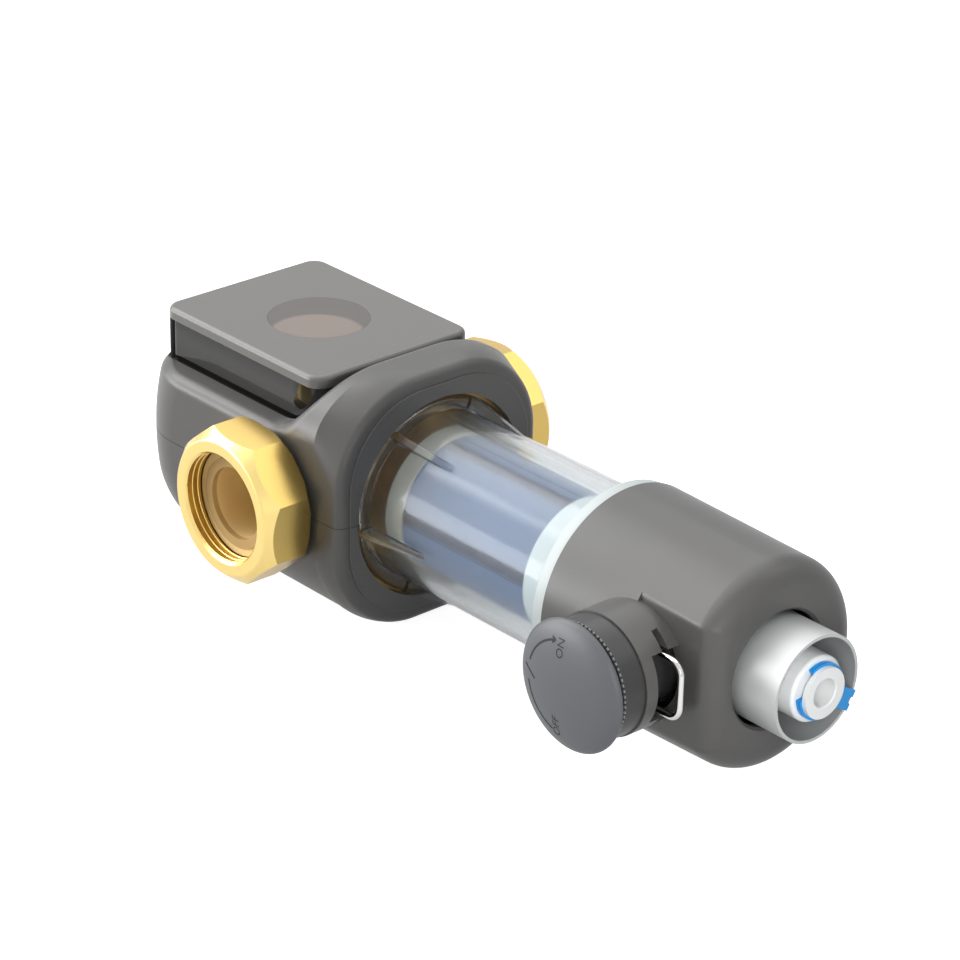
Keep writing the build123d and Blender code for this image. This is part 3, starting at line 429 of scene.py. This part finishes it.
def seal_rubber():
    """Nitrile rubber: matt black with a dull skin."""
    material = new_material("nitrile_rubber", "#1b1b1b", Roughness=0.6)
    grain(material, 0.3 * MM, 0.01 * MM)
    return material


def pressed_fibre():
    """Pressed aramid fibre of the union gaskets: tan, with a mottled felted skin."""
    material = new_material("pressed_fibre", "#b99a66", Roughness=0.75)
    grain(material, 0.5 * MM, 0.03 * MM, (0.7, 0.85))
    return material


def brushed_steel():
    """Stainless tube brushed round its axis: satin, with fine rings."""
    material = new_material("brushed_stainless_tube", "#bfc1c1", Roughness=0.45, Metallic=0.5)
    turning_lines(material, 0, 0.18 * MM, 0.006 * MM)
    return material


def drawn_steel():
    """Bright drawn stainless wire and the polished ball."""
    material = new_material("drawn_stainless_wire", "#d5d4d2", Roughness=0.14, Metallic=1.0)
    grain(material, 0.5 * MM, 0.003 * MM)
    return material


def zinc_steel():
    """Zinc-plated steel of the shell's screws: slightly dull."""
    material = new_material("zinc_plated_steel", "#b4b5b6", Roughness=0.35, Metallic=1.0)
    grain(material, 0.4 * MM, 0.006 * MM)
    return material


def knob_abs():
    """Dark grey ABS of the knob: smooth enough for a soft broad highlight."""
    material = new_material("dark_grey_knob_abs", "#54565a", Roughness=0.4)
    grain(material, 0.3 * MM, 0.008 * MM, (0.38, 0.46))
    return material


def collar_abs():
    """Darker ABS of the fixed collar."""
    material = new_material("charcoal_collar_abs", "#2b2b2b", Roughness=0.32)
    grain(material, 0.3 * MM, 0.008 * MM, (0.3, 0.38))
    return material


def tooth_abs():
    """The collar's fine teeth: painted paler grey than the collar, a painted highlight for the light their tips
    catch.
    """
    material = new_material("pale_tooth_abs", "#797b7d", Roughness=0.4)
    grain(material, 0.2 * MM, 0.004 * MM)
    return material


def blue_acetal():
    """Bright blue acetal of the lock clip: glossy."""
    material = new_material("blue_acetal", "#0690dd", Roughness=0.28)
    grain(material, 0.5 * MM, 0.005 * MM)
    return material


def mark_paint():
    """Black filling of the knob's engraved marks."""
    material = new_material("black_mark_paint", "#0c0c0d", Roughness=0.7)
    grain(material, 0.2 * MM, 0.004 * MM)
    return material


finishes = {
    moulded_abs: ["head_shell_front", "head_shell_rear", "drain_housing"],
    satin_abs: ["front_panel"],
    smoked_acrylic: ["panel_box"],
    tinted_window: ["window_lens"],
    turned_brass: ["head_body", "gauge_plug"],
    cast_brass: ["inlet_tailpiece", "outlet_tailpiece"],
    polished_brass: ["inlet_nut", "outlet_nut"],
    clear_polycarbonate: ["bowl"],
    woven_steel: ["screen_mesh"],
    grey_acetal: ["screen_cage"],
    natural_acetal: ["screen_top_ring"],
    white_nylon: ["screen_bottom_ring", "base_adapter"],
    white_acetal: ["push_fit_body", "collet"],
    fluoropolymer: ["valve_seats"],
    seal_rubber: ["gauge_seal", "bowl_seal", "base_seal", "stem_seal", "tube_seal"],
    pressed_fibre: ["inlet_gasket", "outlet_gasket"],
    brushed_steel: ["drain_sleeve"],
    drawn_steel: ["wire_clip", "valve_ball", "valve_stem"],
    zinc_steel: ["shell_screws"],
    knob_abs: ["knob"],
    collar_abs: ["knob_collar", "valve_body"],
    blue_acetal: ["lock_clip"],
}
materials = {}
for finish, nodes in finishes.items():
    materials[finish] = finish()
    for node in nodes:
        for slot in frame["nodes"][node].material_slots:
            slot.material = materials[finish]


# Pieces made with geometry nodes


def new_tree(name, sizes):
    """A geometry node group with named number inputs and a material input."""
    tree = bpy.data.node_groups.new(name, "GeometryNodeTree")
    tree.interface.new_socket("Geometry", in_out="INPUT", socket_type="NodeSocketGeometry")
    for size, value in sizes.items():
        kind = "NodeSocketInt" if isinstance(value, int) else "NodeSocketFloat"
        tree.interface.new_socket(size, in_out="INPUT", socket_type=kind)
    tree.interface.new_socket("Material", in_out="INPUT", socket_type="NodeSocketMaterial")
    tree.interface.new_socket("Geometry", in_out="OUTPUT", socket_type="NodeSocketGeometry")
    return tree, add(tree, "NodeGroupInput").outputs


def close_tree(tree, geometry, material):
    """End a group in realised geometry that carries its material."""
    real = add(tree, "GeometryNodeRealizeInstances", {"Geometry": geometry})
    dressed = add(
        tree,
        "GeometryNodeSetMaterial",
        {"Geometry": real.outputs["Geometry"], "Material": material},
    )
    add(tree, "NodeGroupOutput", {"Geometry": dressed.outputs["Geometry"]})


def piece_from_tree(name, tree, sizes, material, matrix, body):
    """Run a group on an empty mesh, keep its result as a plain mesh at its place, and let it ride."""
    host = bpy.data.objects.new(name + "_host", bpy.data.meshes.new(name + "_host"))
    scene.collection.objects.link(host)
    modifier = host.modifiers.new("shape", "NODES")
    modifier.node_group = tree
    for item in tree.interface.items_tree:
        if item.in_out == "INPUT" and item.name in sizes:
            modifier[item.identifier] = sizes[item.name]
        if item.in_out == "INPUT" and item.name == "Material":
            modifier[item.identifier] = material
    made = host.evaluated_get(bpy.context.evaluated_depsgraph_get())
    mesh = bpy.data.meshes.new_from_object(made)
    bpy.data.objects.remove(host)
    mesh.transform(matrix)
    mesh.name = name
    ride_mesh(name, mesh, body)


def ride_mesh(name, mesh, body):
    """Put a finished mesh in the scene as a piece of a body; it keeps the materials it carries."""
    piece = bpy.data.objects.new(name, mesh)
    scene.collection.objects.link(piece)
    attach(piece, body)


def thread_tree(sizes):
    """A helical ridge round local Z."""
    tree, size = new_tree("thread_ridge", sizes)
    helix = add(
        tree,
        "GeometryNodeCurveSpiral",
        {
            "Resolution": thread_steps,
            "Rotations": size["Turns"],
            "Start Radius": size["Radius"],
            "End Radius": size["Radius"],
            "Height": size["Length"],
        },
    )
    section = add(
        tree,
        "GeometryNodeCurvePrimitiveCircle",
        {"Resolution": ridge_sides, "Radius": size["Ridge"]},
    )
    ridge = add(
        tree,
        "GeometryNodeCurveToMesh",
        {"Curve": helix.outputs["Curve"], "Profile Curve": section.outputs["Curve"], "Fill Caps": True},
    )
    close_tree(tree, ridge.outputs["Mesh"], size["Material"])
    return tree


def tooth_tree(sizes):
    """A ring of small teeth round local Z."""
    tree, size = new_tree("tooth_ring", sizes)
    circle = add(
        tree,
        "GeometryNodeCurvePrimitiveCircle",
        {"Resolution": tooth_ring_steps, "Radius": size["Radius"]},
    )
    points = add(
        tree,
        "GeometryNodeCurveToPoints",
        {"Curve": circle.outputs["Curve"], "Count": size["Count"]},
    )
    block_size = add(
        tree,
        "ShaderNodeCombineXYZ",
        {"X": size["Depth"], "Y": size["Height"], "Z": size["Width"]},
    )
    block = add(tree, "GeometryNodeMeshCube", {"Size": block_size.outputs["Vector"]})
    teeth = add(
        tree,
        "GeometryNodeInstanceOnPoints",
        {
            "Points": points.outputs["Points"],
            "Instance": block.outputs["Mesh"],
            "Rotation": points.outputs["Rotation"],
        },
    )
    close_tree(tree, teeth.outputs["Instances"], size["Material"])
    return tree


thread_sizes = {
    "Radius": thread_radius,
    "Turns": thread_length / thread_pitch,
    "Length": thread_length,
    "Ridge": thread_ridge,
}
threads = thread_tree(thread_sizes)
for port, side in (("inlet", -1), ("outlet", 1)):
    start = Vector(mounts[port]["pos_m"]) - Vector((0, side * thread_length / 2, 0))
    outward = Matrix.Rotation(-side * math.pi / 2, 4, "X")
    piece_from_tree(
        port + "_nut_thread",
        threads,
        thread_sizes,
        materials[polished_brass],
        Matrix.Translation(start) @ outward,
        port + "_nut",
    )

tooth_sizes = {
    "Radius": tooth_ring_radius,
    "Count": tooth_count,
    "Width": tooth_width,
    "Height": tooth_height,
    "Depth": tooth_depth,
}
collar_front = Vector((knob_centre.x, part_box("knob_collar")[0].y, knob_centre.z))
piece_from_tree(
    "collar_teeth",
    tooth_tree(tooth_sizes),
    tooth_sizes,
    tooth_abs(),
    Matrix.Translation(collar_front) @ Matrix.Rotation(math.pi / 2, 4, "X"),
    "filter",
)


# Marks on the knob, laid on its dome by casting each point onto it


def on_dome(x, z):
    """Point of the knob's front at an offset from its axis, lifted by the paint."""
    start = knob_centre + Vector((x, -mark_ray, z))
    _, point, _, _ = frame["nodes"]["knob"].ray_cast(start, Vector((0, 1, 0)))
    return point - Vector((0, mark_lift, 0))


def stroke(drawing, points):
    """A painted line of the marks' width through (x, z) points."""
    rails = []
    for index, point in enumerate(points):
        before = points[max(index - 1, 0)]
        after = points[min(index + 1, len(points) - 1)]
        along = (Vector(after) - Vector(before)).normalized()
        across = Vector((-along.y, along.x)) * mark_width / 2
        rails.append([drawing.verts.new(on_dome(*(Vector(point) + way * across))) for way in (1, -1)])
    for first, second in zip(rails, rails[1:]):
        drawing.faces.new((first[0], first[1], second[1], second[0]))


def around(radius, angle):
    """Place (x, z) at a radius and an angle on the knob's front."""
    return (radius * math.cos(math.radians(angle)), radius * math.sin(math.radians(angle)))


def arc_points(start, end):
    """Points at even steps from one angle of the marks' circle to another."""
    steps = round(abs(end - start) / arc_step)
    return [around(mark_radius, start + (end - start) * step / steps) for step in range(steps + 1)]


def straight_points(start, end, steps):
    """Points from one place of the knob's front to another, close enough to follow the dome."""
    return [tuple(Vector(start).lerp(Vector(end), step / steps)) for step in range(steps + 1)]


def word(drawing, text, centre):
    """Letters that read upwards, centred on a point of the dome."""
    curve = bpy.data.curves.new(text, "FONT")
    curve.body = text
    curve.size = word_height * type_over_capitals
    curve.align_x = "CENTER"
    curve.align_y = "CENTER"
    holder = bpy.data.objects.new(text, curve)
    scene.collection.objects.link(holder)
    made = holder.evaluated_get(bpy.context.evaluated_depsgraph_get())
    letters = bpy.data.meshes.new_from_object(made)
    bpy.data.objects.remove(holder)
    shape = bmesh.new()
    shape.from_mesh(letters)
    bmesh.ops.triangulate(shape, faces=shape.faces)
    bmesh.ops.subdivide_edges(shape, edges=shape.edges, cuts=1)
    for vertex in shape.verts:
        vertex.co = on_dome(centre[0] - vertex.co.y, centre[1] + vertex.co.x)
    shape.to_mesh(letters)
    shape.free()
    drawing.from_mesh(letters)


bpy.context.view_layer.update()
drawing = bmesh.new()
stroke(drawing, arc_points(*on_arc))
stroke(drawing, arc_points(*off_arc))
stroke(drawing, straight_points(*(around(*end) for end in tick_ends), tick_steps))
tip = around(mark_radius, on_arc[0])
for lean in arrow_lean:
    barb = around(arrow_length, lean)
    stroke(drawing, straight_points(tip, (tip[0] + barb[0], tip[1] + barb[1]), barb_steps))
word(drawing, "ON", on_word_at)
word(drawing, "OFF", off_word_at)
bmesh.ops.recalc_face_normals(drawing, faces=drawing.faces)
for face in drawing.faces:
    if face.normal.y > 0:
        face.normal_flip()
marks = bpy.data.meshes.new("knob_marks")
drawing.to_mesh(marks)
drawing.free()
marks.materials.append(mark_paint())
ride_mesh("knob_marks", marks, "knob")


# Studio: a pale floor, soft boxes and a pale surround


def soft_box(name, place, size, power, mirrored=True, in_glass=False):
    """A soft box aimed at the filter, in metres and watts.

    Polished pieces show it if mirrored, and clear ones if in_glass.
    """
    light = bpy.data.lights.new(name, "AREA")
    light.shape = "RECTANGLE"
    light.size = size[0]
    light.size_y = size[1]
    light.energy = power
    lamp = bpy.data.objects.new(name, light)
    scene.collection.objects.link(lamp)
    lamp.location = place
    lamp.rotation_euler = (view_target - Vector(place)).to_track_quat("-Z", "Y").to_euler()
    lamp.visible_glossy = mirrored
    lamp.visible_transmission = in_glass
    lamp.visible_camera = False


def seen_rays(tree):
    """1 for the rays that look at the background: camera, glossy and transmission rays."""
    rays = add(tree, "ShaderNodeLightPath")
    some = add(
        tree,
        "ShaderNodeMath",
        {0: rays.outputs["Is Camera Ray"], 1: rays.outputs["Is Glossy Ray"]},
        operation="MAXIMUM",
    )
    seen = add(
        tree,
        "ShaderNodeMath",
        {0: some.outputs[0], 1: rays.outputs["Is Transmission Ray"]},
        operation="MAXIMUM",
    )
    return seen.outputs[0]


def pale_floor():
    """Seamless white paper: it looks white, with the filter's shadow on it, but lights it as grey."""
    material = new_material("white_paper", "#b9b9b9", Roughness=0.9)
    tree = material.node_tree
    shader = tree.nodes["Principled BSDF"]
    rays = add(tree, "ShaderNodeLightPath")
    strength = add(
        tree,
        "ShaderNodeMapRange",
        {"Value": rays.outputs["Is Glossy Ray"], "To Min": 0.9, "To Max": 0.4},
    )
    glow = add(
        tree,
        "ShaderNodeEmission",
        {"Color": (1, 1, 1, 1), "Strength": strength.outputs["Result"]},
    )
    bright = add(tree, "ShaderNodeAddShader", {0: shader.outputs["BSDF"], 1: glow.outputs["Emission"]})
    unlit = add(tree, "ShaderNodeBsdfDiffuse", {"Color": srgb("#8a8a8a")})
    paper = add(
        tree,
        "ShaderNodeMixShader",
        {"Fac": seen_rays(tree), 1: unlit.outputs["BSDF"], 2: bright.outputs["Shader"]},
    )
    tree.links.new(paper.outputs["Shader"], tree.nodes["Material Output"].inputs["Surface"])
    return material


floor_corners = ((-1, -1), (1, -1), (1, 1), (-1, 1))
floor_mesh = bpy.data.meshes.new("floor")
floor_mesh.from_pydata(
    [(x * floor_half, y * floor_half, -floor_drop) for x, y in floor_corners], [], [(0, 1, 2, 3)]
)
floor_mesh.materials.append(pale_floor())
floor = bpy.data.objects.new("floor", floor_mesh)
scene.collection.objects.link(floor)

world = bpy.data.worlds.new("studio")
world.use_nodes = True
scene.world = world
surround = world.node_tree
dim = add(surround, "ShaderNodeBackground", {"Color": (1, 1, 1, 1), "Strength": 0.15})
white = add(surround, "ShaderNodeBackground", {"Color": (1, 1, 1, 1), "Strength": 1.0})
sky = add(
    surround,
    "ShaderNodeMixShader",
    {"Fac": seen_rays(surround), 1: dim.outputs["Background"], 2: white.outputs["Background"]},
)
surround.links.new(sky.outputs["Shader"], surround.nodes["World Output"].inputs["Surface"])

soft_box("overhead", (-0.4, 0.1, 1.4), (2.4, 2.0), 20.0)
soft_box("behind", (0.95, 1.25, 1.4), (0.9, 0.9), 2.8)
soft_box("key", (-1.0, -0.2, 1.1), (0.9, 0.9), 6.0, in_glass=True)
soft_box("left", (-1.2, -1.0, 0.6), (1.8, 1.6), 29.0)
soft_box("low_left", (-0.8, -1.0, 0.2), (1.0, 0.4), 5.0)
soft_box("right_strip", (1.2, -1.0, 0.3), (0.2, 0.8), 1.3, in_glass=True)
soft_box("drain_end", (0.37, -0.14, 0.13), (0.12, 0.12), 0.46, mirrored=False)


# Camera

back = Vector(
    (
        math.sin(view_azimuth) * math.cos(view_elevation),
        -math.cos(view_azimuth) * math.cos(view_elevation),
        math.sin(view_elevation),
    )
)
level_right = Vector((0, 0, 1)).cross(back).normalized()
level_up = back.cross(level_right)
right = level_right * math.cos(view_roll) + level_up * math.sin(view_roll)
up = level_up * math.cos(view_roll) - level_right * math.sin(view_roll)
camera = bpy.data.objects.new("camera", bpy.data.cameras.new("camera"))
scene.collection.objects.link(camera)
camera.data.lens = view_lens
camera.data.sensor_width = sensor_width
turned_to_view = Matrix((right, up, back)).transposed().to_4x4()
camera.matrix_world = Matrix.Translation(view_target + back * view_distance) @ turned_to_view
scene.camera = camera
scene.view_settings.view_transform = "Standard"
